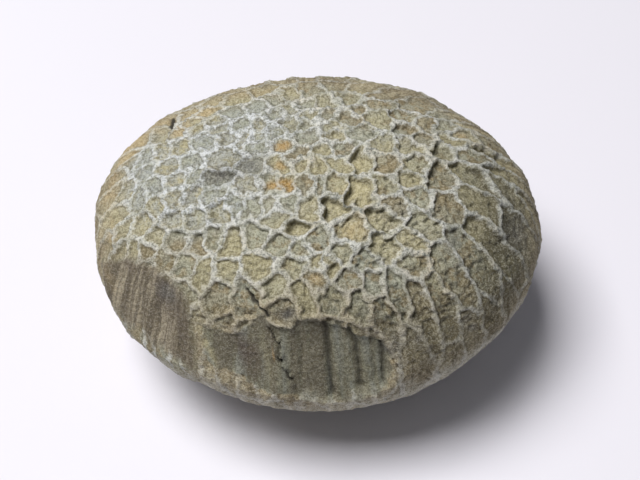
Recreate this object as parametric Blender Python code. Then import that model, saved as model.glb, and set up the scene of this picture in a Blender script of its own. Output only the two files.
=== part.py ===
"""Fossil coral head: a worn cobble of honeycomb coral that rests on a flat cut base.

The coral grew as one bundle of tubes that fan out from its underside. Their mouths
cover the crown as a net of raised walls round sunken stone fillings. Down the sides
the tubes run along the surface as long streaks, and where the rim broke away at the
front they stand in a row as bare columns, under a ledge.

The shape is worked out on a ball of unit vectors, in millimetres about the middle of
the cobble, and then placed in metres with the base on z = 0 and the box's middle over
the origin.
"""
import bmesh
import bpy
import numpy as np
from mathutils import Vector
from mathutils.geometry import delaunay_2d_cdt

MM = 0.001

# The rounded body, in millimetres: an ellipsoid worn flatter on ten sides
HALF_SIZE = np.array([33.5, 28.0, 18.8])
MIDDLE = np.array([-0.3, -0.06, 17.0])
WORN_SHARPNESS = 14
WORN_SIDES = (
    # azimuth and elevation in degrees, distance from the middle
    (16, 13, 35.8),
    (53, 34, 32.2),
    (115, 37, 27.0),
    (152, 22, 34.5),
    (-168, -10, 32.1),
    (-140, -29, 29.9),
    (-113, -38, 25.5),
    (-73, -39, 27.0),
    (-40, -29, 28.5),
    (-17, -14, 33.0),
)

# Faces where the front rim broke away: azimuth, elevation, distance from the middle
BROKEN_FACES = (
    (-86, 24, 25.1),
    (-104, 26, 25.4),
    (-131, 24, 27.1),
)

# Dents in the outline: azimuth, elevation, half width in degrees, depth
DENTS = (
    (38, 14, 6, 0.5),
    (66, 24, 5, 0.3),
    (-152, -24, 6, 0.7),
    (88, 30, 6, 0.3),
)

# Soft swells and hollows of the worn surface: height, and waves for each radian
SWELL_HEIGHT = 0.1
SWELL_WAVES = (
    (2.3, 3.1, 1.7, 0.4),
    (-3.9, 2.2, 2.8, 1.9),
    (3.4, -4.6, 2.1, 3.3),
)

# The tube mouths that show on the crown, by how deep their filling is worn. All places
# on the crown are millimetres right and back of the top, as if it were pressed flat.
SHALLOW_MOUTHS = (
    (-6.8, 0.2), (-4.0, -0.2), (-3.9, -3.4), (-1.4, -3.6), (-1.2, -6.2), (-3.1, -6.5),
    (-5.2, -6.0), (-7.2, -3.0), (-8.2, -6.2), (-9.3, -8.2), (-7.4, -8.8), (-5.4, -9.1),
    (-3.3, -9.0), (-4.6, -11.2), (-0.8, -10.0), (0.3, -3.6), (0.5, -6.3), (2.6, -3.3),
    (1.2, -0.9), (2.9, -0.4), (9.6, -8.7), (11.7, -13.7), (12.4, -16.6), (0.1, -14.4),
    (0.5, -16.9), (3.3, -16.2), (-1.9, -15.0), (-6.9, -17.6), (0.0, -19.3), (-11.4, -18.0),
    (-24.2, -4.6), (-21.2, -3.6), (-20.6, -6.8), (-17.8, -3.2), (-15.2, -3.3), (-11.6, -1.4),
    (-12.6, -7.0), (-15.4, -6.6), (-18.2, -6.4), (-16.0, -0.8), (-14.4, -17.6), (-28.5, -6.0),
    (-28.4, -9.2), (-26.6, -2.0), (-29.8, -1.2), (-25.6, -12.8), (-8.9, 2.2), (-9.3, 4.6),
    (-7.1, 4.2), (-7.1, 1.9), (-3.1, 7.3), (1.3, 5.8), (1.4, 3.3), (-0.6, 1.6), (2.4, 1.9),
    (8.7, 9.6), (8.0, 5.9), (5.8, 2.6), (8.6, 0.9), (13.6, 11.2), (-10.4, 7.4), (-12.8, 5.7),
    (-14.7, 9.2), (-16.2, 7.3), (-20.0, 2.4), (-13.8, 2.4), (-10.6, 2.7), (-23.7, 2.7),
    (-15.4, 5.4), (-12.3, 4.6), (16.9, 6.8), (17.6, 4.3), (21.9, -6.2),
    (-19.2, -0.6), (-22.6, -0.6), (-26.0, 3.4), (14.9, 6.4), (-7.5, 8.3),
    (-5.2, 10.4), (-17.6, 2.6), (-23.2, -12.9), (-20.4, -15.2), (-16.9, -16.4), (-11.0, 11.8),
    (-13.8, 12.4), (-3.5, 11.4), (-0.7, 12.6), (2.4, 14.2), (6.8, 14.6), (9.4, 13.2), (-17.8, 11.2),
    (-21.6, 12.0), (-26.1, 8.6), (-28.6, 5.4), (-30.0, 2.0), (21.5, 12.6), (25.0, 11.6),
)
SUNKEN_MOUTHS = (
    (-2.5, -1.8), (2.0, -6.2), (8.4, -3.0), (8.5, -6.3), (12.2, -2.4), (11.2, -4.7),
    (11.8, -7.2), (16.2, -8.2), (12.8, -11.2), (4.3, -12.6), (8.5, -14.6),
    (-4.4, -14.7), (-7.3, -13.3), (-10.3, -14.0), (6.0, -17.0), (7.2, -19.6), (10.4, -20.2),
    (-2.7, -17.9), (4.1, -19.4), (-4.9, -20.4), (-1.6, -21.4), (2.3, -21.6), (1.9, -17.6),
    (-23.3, -9.3), (-18.4, -9.4), (-15.0, -10.0), (-11.9, -8.8), (-21.6, -11.6),
    (-18.3, -12.6), (-13.0, -12.9), (-5.3, 2.4), (-5.0, 6.1), (-3.5, 4.1), (-1.2, 8.4),
    (-0.5, 6.0), (-1.0, 3.6), (4.1, 5.6), (1.4, 9.6), (11.6, 7.4), (11.4, 0.8), (13.9, 3.2),
    (-18.2, 6.0), (20.2, 6.5), (21.8, 2.2), (28.8, -2.2), (21.0, -14.7), (17.2, -16.6),
    (27.5, 1.5), (25.5, 7.8), (5.2, 7.4), (-12.5, -20.8), (-9.0, -21.6),
    (8.9, -24.0), (5.6, -22.6), (-29.2, -12.6), (-14.8, -13.6), (4.0, 10.6),
)
DEEP_MOUTHS = (
    (5.3, -2.5), (5.2, -7.2), (2.1, -9.8), (15.2, -3.4), (8.3, -11.2), (-2.3, -12.9),
    (-12.0, -4.4), (16.3, 2.2), (11.9, 4.5), (21.3, -1.9), (26.3, 4.2), (-21.6, 7.4),
    (-3.9, -23.4), (13.9, -21.6),
)
# Tubes that surface on the sides and under the broken faces, where they run as streaks
SIDE_TUBES = (
    (-14.6, -32.0), (-11.4, -32.4), (-8.3, -32.4), (-4.6, -32.4), (-0.6, -32.4), (3.6, -32.6),
    (7.4, -32.8), (10.8, -33.4), (16.6, -21.2), (25.5, -12.4), (29.8, -8.6), (35.0, -2.0),
    (-19, -21.5), (-22, -19.5), (-25, -17), (-28, -16), (-31, -10),
)

# How far a filling lies below the walls, in millimetres
SHALLOW_DEPTH = 0.45
SUNKEN_DEPTH = 0.8
DEEP_DEPTH = 1.4
SIDE_DEPTH = 0.6
WALL_HALF_WIDTH = 0.25
WALL_SLOPE = 0.4

# Down the sides, between these angles from straight up, the fillings are worn nearly
# level with the walls, and so they are on rubbed blotches of the crown. On open blotches
# they stay deep. A blotch is its middle, half sizes and strength.
SIDE_RELIEF = 0.2
SIDE_START = np.radians(54)
SIDE_END = np.radians(72)
OPEN_SIDES = (
    (14.5, -22.0, 6.5, 5.0, 1.0),
    (21.0, -14.5, 4.0, 3.0, 0.3),
    (26.0, -12.0, 3.0, 3.0, 0.2),
)
RUBBED = (
    (-31.0, 3.0, 4.5, 7.0, 1.0),
    (-25.0, 12.0, 6.0, 4.5, 1.0),
    (-14.0, 15.5, 7.0, 4.0, 1.0),
    (0.0, 17.5, 8.0, 4.0, 1.0),
    (13.0, 17.5, 8.0, 5.0, 1.0),
    (25.0, 13.0, 7.0, 4.5, 0.9),
    (33.0, 5.0, 4.0, 6.0, 0.8),
    (37.0, -5.0, 4.0, 7.0, 0.8),
)

# The tubes behind and below, which fill the map at one pitch with some unevenness
TUBE_PITCH = 3.25
TUBE_SCATTER = 0.55
TUBE_CLEARANCE = 2.8
MAP_REACH = 36.0
SEED = 3
NEIGHBOURS = 8
PLACES_AT_ONCE = 4000

# The map of tubes: millimetres for each radian from its pole, which leans. Past the rim,
# a circle round a middle of its own, the tubes lie down along the surface, so the map
# shortens there.
MAP_SCALE = np.array([30.0, 26.0])
POLE_LEAN = np.radians((-2.0, 6.0))
RIM_MIDDLE = np.radians((-6.5, -15.0))
RIM_REACH = np.radians(45.5)
RIM_SOFTNESS = np.radians(5)
RIM_SHORTENING = 0.15
MAP_REACH_LIMIT = np.radians(150)
STEP_ON_BALL = 0.002
HALVINGS = 30

# Between these heights about the middle the relief is rubbed away, and below them the
# stone is smooth. The belt rises toward both ends.
BELT_BOTTOM = -2.4
BELT_TOP = 0.8
BELT_RISE = 2.0
BELT_RISE_REACH = 24.0

# Broken areas: how softly each begins, how far it is set back, over the width FACE_STEP,
# and its edge
FRONT = (0.3, 0.15, (
    (-16.5, -25.1), (-15.6, -26.0), (-12.3, -27.5), (-9.4, -26.0), (-7.1, -23.4), (-6.3, -25.1),
    (-5.4, -26.5), (-4.0, -26.8), (-2.8, -25.7), (-2.2, -25.0), (-0.4, -25.1), (2.0, -25.9),
    (4.9, -26.6), (5.9, -27.9), (8.8, -28.4), (10.5, -28.9), (12.1, -31.4), (13.0, -34.4),
    (13.4, -37.4), (11.8, -40.0), (8.5, -42.0), (-0.9, -42.0), (-4.0, -40.2), (-9.5, -38.8),
    (-12.0, -37.2), (-14.4, -35.1), (-17.3, -34.3), (-19.0, -32.6), (-18.1, -30.4),
    (-17.2, -27.5),
))
COLUMNS = (0.3, 0.5, (
    (-6.4, -26.4), (-4.0, -26.8), (-2.8, -25.7), (-2.2, -25.0), (-0.4, -25.1), (2.0, -25.9),
    (4.9, -26.6), (5.9, -27.9), (8.8, -28.4), (10.5, -28.9), (12.1, -31.4), (13.0, -34.4),
    (13.4, -37.4), (11.8, -40.0), (8.5, -42.0), (-0.9, -42.0), (-4.0, -40.2), (-4.3, -37.0),
    (-5.3, -34.9), (-5.9, -33.0), (-5.4, -30.6),
))
STREAKY_SIDE = (1.8, 0.0, (
    (-37.0, -10.5), (-28.0, -12.3), (-22.5, -14.1), (-19.5, -17.1), (-17.2, -19.1),
    (-16.8, -21.6), (-17.6, -25.5), (-18.6, -29.5), (-20.2, -35.0), (-27.0, -37.0),
    (-37.0, -30.0), (-43.0, -17.0),
))
BREAKS = (FRONT, COLUMNS, STREAKY_SIDE)
FACE_STEP = 0.5

# Grooves between the columns of the broken areas: half width, depth and line
GROOVES = (
    (0.4, 0.25, ((-2.3, -26.4), (-2.1, -28.7), (-2.4, -33.0))),
    (0.5, 0.6, ((1.4, -26.1), (2.0, -30.0), (2.5, -34.1), (3.2, -38.8))),
    (0.5, 0.5, ((4.8, -27.0), (6.4, -29.9), (7.6, -34.0), (8.8, -39.3))),
    (0.3, 0.25, ((8.3, -28.8), (9.7, -32.7), (11.3, -37.0))),
    (0.45, 0.5, ((10.3, -29.0), (11.7, -33.5), (12.8, -37.4))),
    (0.5, 0.2, ((-7.0, -26.5), (-6.8, -37.0))),
    (0.5, 0.12, ((-9.8, -27.5), (-10.1, -37.5))),
    (0.5, 0.12, ((-12.6, -28.5), (-13.6, -34.5))),
    (0.6, 0.25, ((-17.6, -21.5), (-19.4, -31.0))),
    (0.6, 0.3, ((-20.4, -19.0), (-23.4, -30.0))),
    (0.6, 0.3, ((-23.4, -16.5), (-27.4, -27.0))),
    (0.5, 0.25, ((-26.0, -14.5), (-31.0, -24.5))),
    (0.5, 0.25, ((-28.6, -13.5), (-34.5, -21.5))),
)

# Facets, in millimetres: the step between points along a wall and along an edge or
# groove, how far a wall's foot lies toward the tube's middle, how far a groove's banks
# lie from its line, how near to a broken area a wall keeps its points, and the least
# distance between points
WALL_STEP = 4.5
EDGE_STEP = 1.6
GROOVE_STEP = 3.0
FOOT_SHARE = 0.5
BANK_SHARE = 1.6
BREAK_MARGIN = 0.3
SMALLEST_FACET = 0.25
CORNER_TOLERANCE = 1e-6

# Rings of points round the smooth belt and the underside: the angles from straight up of
# the first and the last
BELT_RINGS = 13
BELT_POINTS = 64
BELT_START = np.radians(88)
BELT_END = np.radians(173)
BELT_GAP = 0.6
BASE_CUTTER_SIZE = 0.2
STONE_COLOUR = (0.33, 0.31, 0.23, 1.0)
STONE_ROUGHNESS = 0.9


def facing(azimuth, elevation):
    """Unit vector of an azimuth and an elevation in degrees."""
    a, e = np.radians(azimuth), np.radians(elevation)
    return np.array([np.cos(a) * np.cos(e), np.sin(a) * np.cos(e), np.sin(e)])


def ease(x):
    """0 below 0, 1 above 1, and three x squared less two x cubed between."""
    t = np.clip(x, 0.0, 1.0)
    return t * t * (3.0 - 2.0 * t)


def outward(point):
    """Unit vectors from the middle to the points."""
    return point / np.linalg.norm(point, axis=1, keepdims=True)


# ------------------------------------------------------------------ shape of the cobble


def body_points(ball):
    """An ellipsoid worn flatter: each unit vector times the half sizes, divided by the
    14th root of one plus the sum, over the worn sides, of the 14th power of how many
    times the point reaches past that side's plane. Swells are added and dents taken."""
    point = ball * HALF_SIZE
    size = np.ones(len(ball))
    for azimuth, elevation, distance in WORN_SIDES:
        reach = point @ facing(azimuth, elevation) / distance
        size += np.maximum(reach, 0.0) ** WORN_SHARPNESS
    point = point * (size ** (-1.0 / WORN_SHARPNESS))[:, None]
    return point + outward(point) * (swell(ball) - dents(point))[:, None]


def swell(ball):
    """Height of the low swells: the sum of three sine waves over the ball."""
    height = np.zeros(len(ball))
    for x, y, z, phase in SWELL_WAVES:
        height += np.sin(ball @ np.array([x, y, z]) + phase)
    return SWELL_HEIGHT * height


def dents(point):
    """Depth of the dents: for each, a bell curve of the angle from its middle."""
    depth = np.zeros(len(point))
    for azimuth, elevation, width, dent in DENTS:
        angle = np.degrees(np.arccos(np.clip(outward(point) @ facing(azimuth, elevation), -1, 1)))
        depth += dent * np.exp(-(angle / width) ** 2)
    return depth


def break_rim(point):
    """Points past a broken face's plane are divided by how many times they reach past it,
    which lays them on the plane."""
    reach = np.stack([point @ facing(azimuth, elevation) / distance
                      for azimuth, elevation, distance in BROKEN_FACES], 1)
    return point / np.maximum(reach.max(axis=1), 1.0)[:, None]


# ------------------------------------------------------------------ maps of the surface


def pole_angles(ball):
    """Angle of unit vectors from straight up, and their turn about it."""
    return np.arccos(np.clip(ball[:, 2], -1.0, 1.0)), np.arctan2(ball[:, 1], ball[:, 0])


def plan_to_ball(plan):
    """Unit vectors of places on the crown pressed flat: the distance from the top, divided
    by the map's scale, is the angle from straight up."""
    x, y = (np.asarray(plan) / MAP_SCALE).T
    angle, turn = np.hypot(x, y), np.arctan2(y, x)
    return np.stack([np.cos(turn) * np.sin(angle), np.sin(turn) * np.sin(angle), np.cos(angle)], 1)


def ball_to_plan(ball):
    """Places of unit vectors on the crown pressed flat, the reverse of plan_to_ball."""
    angle, turn = pole_angles(ball)
    return np.stack([np.cos(turn), np.sin(turn)], 1) * angle[:, None] * MAP_SCALE


def pole_frame():
    """Three unit vectors as rows: to the right, to the back, and along the pole of the map
    of tubes, which leans from straight up."""
    lean, turn = np.hypot(*POLE_LEAN), np.arctan2(POLE_LEAN[1], POLE_LEAN[0])
    pole = facing(np.degrees(turn), 90.0 - np.degrees(lean))
    back = outward(np.cross(pole, [[1.0, 0.0, 0.0]]))[0]
    return np.stack([np.cross(back, pole), back, pole])


def rim_angle(way):
    """The angle from the pole at which a way out from it leaves the rim's circle: for the
    circle's middle m and reach r, m.way plus the root of r r - m.m + (m.way)(m.way)."""
    ahead = way @ RIM_MIDDLE
    return ahead + np.sqrt(RIM_REACH ** 2 - RIM_MIDDLE @ RIM_MIDDLE + ahead ** 2)


def shortened(angle, bend, softness, shortening):
    """An angle that grows by its full step before the bend and by the shortened step after
    it, with a soft turn between."""
    past = softness * np.logaddexp(0.0, (angle - bend) / softness)
    return angle - (1.0 - shortening) * past


def tube_map(ball):
    """Places of unit vectors on the map of tubes: the way from the pole times the angle
    from it, shortened past the rim, times the map's scale."""
    angle, turn = pole_angles(ball @ pole_frame().T)
    way = np.stack([np.cos(turn), np.sin(turn)], 1)
    reach = shortened(angle, rim_angle(way), RIM_SOFTNESS, RIM_SHORTENING)
    return way * reach[:, None] * MAP_SCALE


def map_to_ball(place):
    """Unit vectors of places on the map of tubes, the reverse of tube_map. The angle from
    the pole is found by halving the span that it lies in."""
    x, y = (place / MAP_SCALE).T
    reach, turn = np.hypot(x, y), np.arctan2(y, x)
    way = np.stack([np.cos(turn), np.sin(turn)], 1)
    rim = rim_angle(way)
    low, high = np.zeros(len(place)), np.full(len(place), np.pi)
    for _ in range(HALVINGS):
        middle = 0.5 * (low + high)
        short = shortened(middle, rim, RIM_SOFTNESS, RIM_SHORTENING) < reach
        low, high = np.where(short, middle, low), np.where(short, high, middle)
    return np.column_stack([way * np.sin(low)[:, None], np.cos(low)]) @ pole_frame()


def map_stretch(ball):
    """For each unit vector, the matrix A that gives the map's length over the surface's
    length along a direction n of the map: the square root of n A n. Two small steps on the
    ball give two steps on the surface, whose products make the matrix G, and two steps on
    the map, the columns of M; A is M times the inverse of G times M turned."""
    side = outward(np.cross(ball, [0.0, 0.6, 0.8]))
    steps = (side, np.cross(ball, side))
    body, place = body_points(ball), tube_map(ball)
    moved = [outward(ball + STEP_ON_BALL * step) for step in steps]
    on_body = np.stack([body_points(end) - body for end in moved], 1)
    on_map = np.stack([tube_map(end) - place for end in moved], 2)
    products = on_body @ on_body.transpose(0, 2, 1)
    return on_map @ np.linalg.inv(products) @ on_map.transpose(0, 2, 1)


# ------------------------------------------------------------------ relief


def tube_mouths():
    """All mouths on the map of tubes, and the depth of each one's filling: those listed,
    and a lattice with some scatter wherever none of them is near."""
    rng = np.random.default_rng(SEED)
    groups = (
        (SHALLOW_MOUTHS, SHALLOW_DEPTH),
        (SUNKEN_MOUTHS, SUNKEN_DEPTH),
        (DEEP_MOUTHS, DEEP_DEPTH),
        (SIDE_TUBES, SIDE_DEPTH),
    )
    placed = np.concatenate([tube_map(plan_to_ball(plan)) for plan, _ in groups])
    depth = np.concatenate([np.full(len(plan), depth) for plan, depth in groups])
    steps = np.arange(-MAP_REACH, MAP_REACH, TUBE_PITCH)
    column, row = np.meshgrid(steps, steps)
    column = column + 0.5 * TUBE_PITCH * (np.arange(len(steps)) % 2)[:, None]
    lattice = np.stack([column.ravel(), row.ravel() * np.sqrt(0.75)], 1)
    lattice = lattice + rng.uniform(-TUBE_SCATTER, TUBE_SCATTER, lattice.shape)
    gap = np.linalg.norm(lattice[:, None] - placed[None], axis=2).min(axis=1)
    rest = lattice[gap > TUBE_CLEARANCE]
    rest_depth = rng.uniform(SHALLOW_DEPTH, SUNKEN_DEPTH, len(rest))
    return np.concatenate([placed, rest]), np.concatenate([depth, rest_depth])


def wall_distance(place, stretch, mouth):
    """Distance in millimetres from each place to its tube's wall, and the tube's number.

    A wall stands midway between two mouths, so for mouths a and b at squared distances
    da and db it is (db - da) / (2 |b - a|) away on the map. Dividing by the map's stretch
    along that line gives the distance on the surface.
    """
    distance = np.empty(len(place))
    tube = np.empty(len(place), dtype=int)
    for part in np.array_split(np.arange(len(place)), 1 + len(place) // PLACES_AT_ONCE):
        squared = ((place[part, None] - mouth[None]) ** 2).sum(axis=2)
        near = np.argsort(squared, axis=1)[:, :NEIGHBOURS]
        near_squared = np.take_along_axis(squared, near, axis=1)
        line = mouth[near[:, 1:]] - mouth[near[:, :1]]
        square = np.einsum("pni,pij,pnj->pn", line, stretch[part], line)
        walls = (near_squared[:, 1:] - near_squared[:, :1]) / (2.0 * np.sqrt(square))
        distance[part] = walls.min(axis=1)
        tube[part] = near[:, 0]
    return distance, tube


def blotches(plan, spots):
    """Sum of soft spots on the crown pressed flat: for each, its strength times a bell
    curve of the distance from its middle over its half sizes."""
    mask = np.zeros(len(plan))
    for x, y, half_x, half_y, strength in spots:
        distance = ((plan[:, 0] - x) / half_x) ** 2 + ((plan[:, 1] - y) / half_y) ** 2
        mask += strength * np.exp(-distance)
    return mask


def gap_to_line(plan, start, end):
    """Distance of each place from a straight line between two points."""
    start, step = np.array(start), np.subtract(end, start)
    along = np.clip((plan - start) @ step / (step @ step), 0.0, 1.0)
    return np.linalg.norm(plan - start - along[:, None] * step, axis=1)


def stroke(plan, line, width):
    """Bell curve of the distance from a line through points on the crown pressed flat."""
    gaps = [gap_to_line(plan, start, end) for start, end in zip(line[:-1], line[1:])]
    return np.exp(-(np.min(gaps, axis=0) / width) ** 2)


def strokes(plan, lines):
    """Depth of several strokes: the deepest one at each point."""
    return np.max([depth * stroke(plan, line, width) for width, depth, line in lines], axis=0)


def depth_inside(plan, corners):
    """How far each place is inside a closed line, and below 0 outside it: the distance
    from its nearest edge, inside where a line to the right crosses an odd number of edges."""
    ends = corners[1:] + corners[:1]
    gap = np.min([gap_to_line(plan, start, end) for start, end in zip(corners, ends)], axis=0)
    x, y = plan.T
    inside = np.zeros(len(plan), dtype=bool)
    for (x0, y0), (x1, y1) in zip(corners, ends):
        if y0 != y1:
            spans = (y0 > y) != (y1 > y)
            inside ^= spans & (x < x0 + (y - y0) / (y1 - y0) * (x1 - x0))
    return np.where(inside, gap, -gap)


def side_wear(ball, plan):
    """How nearly level the fillings are worn: a smooth step of the angle from straight up,
    less the open blotches, or the rubbed blotches where they are stronger."""
    angle, _ = pole_angles(ball)
    side = ease((angle - SIDE_START) / (SIDE_END - SIDE_START))
    side = side * (1.0 - np.minimum(blotches(plan, OPEN_SIDES), 1.0))
    return np.maximum(side, np.minimum(blotches(plan, RUBBED), 1.0))


def over_belt(point):
    """Height of points over the belt's bottom edge, in shares of the belt's width."""
    rise = BELT_RISE * ease(np.abs(point[:, 0]) / BELT_RISE_REACH)
    return (point[:, 2] - rise - BELT_BOTTOM) / (BELT_TOP - BELT_BOTTOM)


def broken_areas(plan):
    """How far the broken areas are lowered, and how bare each place is, 0 to 1."""
    relief, bare = strokes(plan, GROOVES), np.zeros(len(plan))
    for softness, back, corners in BREAKS:
        inside = depth_inside(plan, corners)
        bare = np.maximum(bare, ease(inside / softness))
        relief += back * ease(inside / FACE_STEP)
    return relief, bare


def coral_points(ball):
    """Unit vectors carried out to the finished surface, in millimetres about the middle:
    the broken body, lowered by the tubes' fillings or by the relief of the broken areas."""
    point, plan = break_rim(body_points(ball)), ball_to_plan(ball)
    mouth, depth = tube_mouths()
    distance, tube = wall_distance(tube_map(ball), map_stretch(ball), mouth)
    filling = depth[tube] * ease((distance - WALL_HALF_WIDTH) / WALL_SLOPE)
    filling *= 1.0 - (1.0 - SIDE_RELIEF) * side_wear(ball, plan)
    broken, bare = broken_areas(plan)
    lower = ease(over_belt(point)) * ((1.0 - bare) * filling + bare * broken)
    return point - outward(point) * lower[:, None]


# ------------------------------------------------------------------ facets


def wall_corners(a, b, c):
    """Where three walls meet: the point equally far from the mouths a, b and c."""
    ab, ac = b - a, c - a
    twice_area = 2.0 * (ab[:, 0] * ac[:, 1] - ab[:, 1] * ac[:, 0])
    ab_squared, ac_squared = (ab ** 2).sum(axis=1), (ac ** 2).sum(axis=1)
    x = (ac[:, 1] * ab_squared - ab[:, 1] * ac_squared) / twice_area
    y = (ab[:, 0] * ac_squared - ac[:, 0] * ab_squared) / twice_area
    return a + np.stack([x, y], 1)


def wall_places(start, end, mouth, other):
    """Places along one wall at even steps, with its two feet beside each of them."""
    ends = body_points(map_to_ball(np.array([start, end])))
    count = max(1, round(np.linalg.norm(ends[1] - ends[0]) / WALL_STEP))
    share = (np.arange(count) + 0.5)[:, None] / count
    top = start + share * (end - start)
    foot = FOOT_SHARE * (mouth - other) / 2.0
    return np.concatenate([top, top + foot, top - foot])


def tube_places():
    """Places on the map of tubes where the surface turns: mouths, corners and walls."""
    points = [Vector(mouth) for mouth in tube_mouths()[0]]
    points, _, faces, *_ = delaunay_2d_cdt(points, [], [], 0, CORNER_TOLERANCE)
    mouth = np.array(points)
    triangle = np.array(faces)
    corner = wall_corners(*(mouth[triangle[:, k]] for k in range(3)))
    feet = corner[:, None] + FOOT_SHARE * (mouth[triangle] - corner[:, None])
    places = [mouth, corner, feet.reshape(-1, 2)]
    beside = {}
    for number, (a, b, c) in enumerate(triangle):
        for pair in ((a, b), (b, c), (c, a)):
            beside.setdefault(tuple(sorted(pair)), []).append(number)
    for (a, b), sides in beside.items():
        if len(sides) == 2:
            places.append(wall_places(*corner[sides], mouth[a], mouth[b]))
    places = np.concatenate(places)
    reach = np.hypot(*(places / MAP_SCALE).T)
    return places[reach < shortened(MAP_REACH_LIMIT, RIM_REACH, RIM_SOFTNESS, RIM_SHORTENING)]


def line_places(start, end, step, offsets):
    """Rows of places beside a line on the crown pressed flat, one row for each offset to
    its left, at even steps from its start."""
    start, along = np.array(start), np.subtract(end, start)
    length = np.hypot(*along)
    count = max(1, round(length / step))
    across = np.array([-along[1], along[0]]) / length
    row = start + (np.arange(count) / count)[:, None] * along
    return np.concatenate([row + offset * across for offset in offsets])


def break_places():
    """Places along the edges of the broken areas, on both sides of the step, and along the
    grooves and their banks."""
    places = []
    for _, _, corners in (FRONT, COLUMNS):
        for start, end in zip(corners, corners[1:] + corners[:1]):
            places.append(line_places(start, end, EDGE_STEP, (0.0, FACE_STEP)))
    for width, _, line in GROOVES:
        banks = (-BANK_SHARE * width, 0.0, BANK_SHARE * width)
        for start, end in zip(line[:-1], line[1:]):
            places.append(line_places(start, end, GROOVE_STEP, banks))
        places.append(np.array(line[-1:]))
    return np.concatenate(places)


def belt_places():
    """Places in even rings round the smooth belt and the underside, pressed flat."""
    angle, turn = np.meshgrid(np.linspace(BELT_START, BELT_END, BELT_RINGS),
                              np.arange(BELT_POINTS) * 2.0 * np.pi / BELT_POINTS)
    way = np.stack([np.cos(turn), np.sin(turn)], -1)
    return (way * angle[..., None] * MAP_SCALE).reshape(-1, 2)


def feature_places():
    """All places that become corners of facets, on the crown pressed flat: over the belt,
    those of the tubes outside the broken areas and those of the broken areas, and rings
    of places from the belt down."""
    tubes = ball_to_plan(map_to_ball(tube_places()))
    broken = np.max([depth_inside(tubes, corners) for _, _, corners in BREAKS], axis=0)
    upper = np.concatenate([tubes[broken < BREAK_MARGIN], break_places()])
    upper = upper[over_belt(body_points(plan_to_ball(upper))) > 0.0]
    rings = belt_places()
    height = over_belt(body_points(plan_to_ball(rings))) * (BELT_TOP - BELT_BOTTOM)
    return np.concatenate([upper, rings[height < -BELT_GAP]])


def stone_material():
    """Olive grey limestone, matt."""
    material = bpy.data.materials.new("olive_grey_stone")
    material.use_nodes = True
    shader = material.node_tree.nodes["Principled BSDF"]
    shader.inputs["Base Color"].default_value = STONE_COLOUR
    shader.inputs["Roughness"].default_value = STONE_ROUGHNESS
    return material


def base_cutter(collection):
    """A block whose top is the floor, which cuts the underside flat."""
    bpy.ops.mesh.primitive_cube_add(size=BASE_CUTTER_SIZE, location=(0, 0, -BASE_CUTTER_SIZE / 2))
    cutter = bpy.context.active_object
    cutter.name = "base_cutter"
    cutter.hide_render = True
    cutter.display_type = "WIRE"
    for home in cutter.users_collection:
        home.objects.unlink(cutter)
    collection.objects.link(cutter)
    return cutter


def coral_head(collection, cutter):
    """The coral as one solid: the facets between all places are carried out to the surface,
    the hole left at the bottom is closed, and the underside is cut flat."""
    places = [Vector(place) for place in feature_places()]
    places, _, faces, *_ = delaunay_2d_cdt(places, [], [], 0, SMALLEST_FACET)
    ball = plan_to_ball(np.array(places))
    shape = bmesh.new()
    corners = [shape.verts.new(co) for co in (coral_points(ball) + MIDDLE) * MM]
    for face in faces:
        shape.faces.new([corners[number] for number in face])
    rim = [edge for edge in shape.edges if edge.is_boundary]
    bmesh.ops.holes_fill(shape, edges=rim, sides=0)
    bmesh.ops.recalc_face_normals(shape, faces=shape.faces)
    mesh = bpy.data.meshes.new("coral_head")
    shape.to_mesh(mesh)
    shape.free()
    mesh.materials.append(stone_material())
    coral = bpy.data.objects.new("coral_head", mesh)
    collection.objects.link(coral)
    cut = coral.modifiers.new("flat_base", "BOOLEAN")
    cut.operation = "DIFFERENCE"
    cut.object = cutter
    return coral


def main():
    for old in list(bpy.data.objects):
        bpy.data.objects.remove(old)
    parts = bpy.data.collections.new("fossil_coral_head")
    cutters = bpy.data.collections.new("cutters")
    bpy.context.scene.collection.children.link(parts)
    bpy.context.scene.collection.children.link(cutters)
    coral_head(parts, base_cutter(cutters))


main()
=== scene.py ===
"""Finish of the fossil coral head: one fine surface, its stone, a pale floor and soft light.

The surface is a function of a direction from the middle of the cobble. It is worked out
in millimetres for whole arrays of directions, and scaled to metres when it is placed.
"""
import math

import bpy
import numpy as np
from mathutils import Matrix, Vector


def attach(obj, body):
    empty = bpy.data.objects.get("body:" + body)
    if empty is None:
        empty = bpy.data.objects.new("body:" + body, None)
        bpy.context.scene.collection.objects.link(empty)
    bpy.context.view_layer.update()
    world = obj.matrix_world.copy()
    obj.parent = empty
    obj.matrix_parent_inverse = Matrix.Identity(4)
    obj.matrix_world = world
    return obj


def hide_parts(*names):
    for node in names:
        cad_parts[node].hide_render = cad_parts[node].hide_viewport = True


MM = 0.001
NODE = "coral_head"

# ------------------------------------------------------------------ the cobble, millimetres

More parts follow.
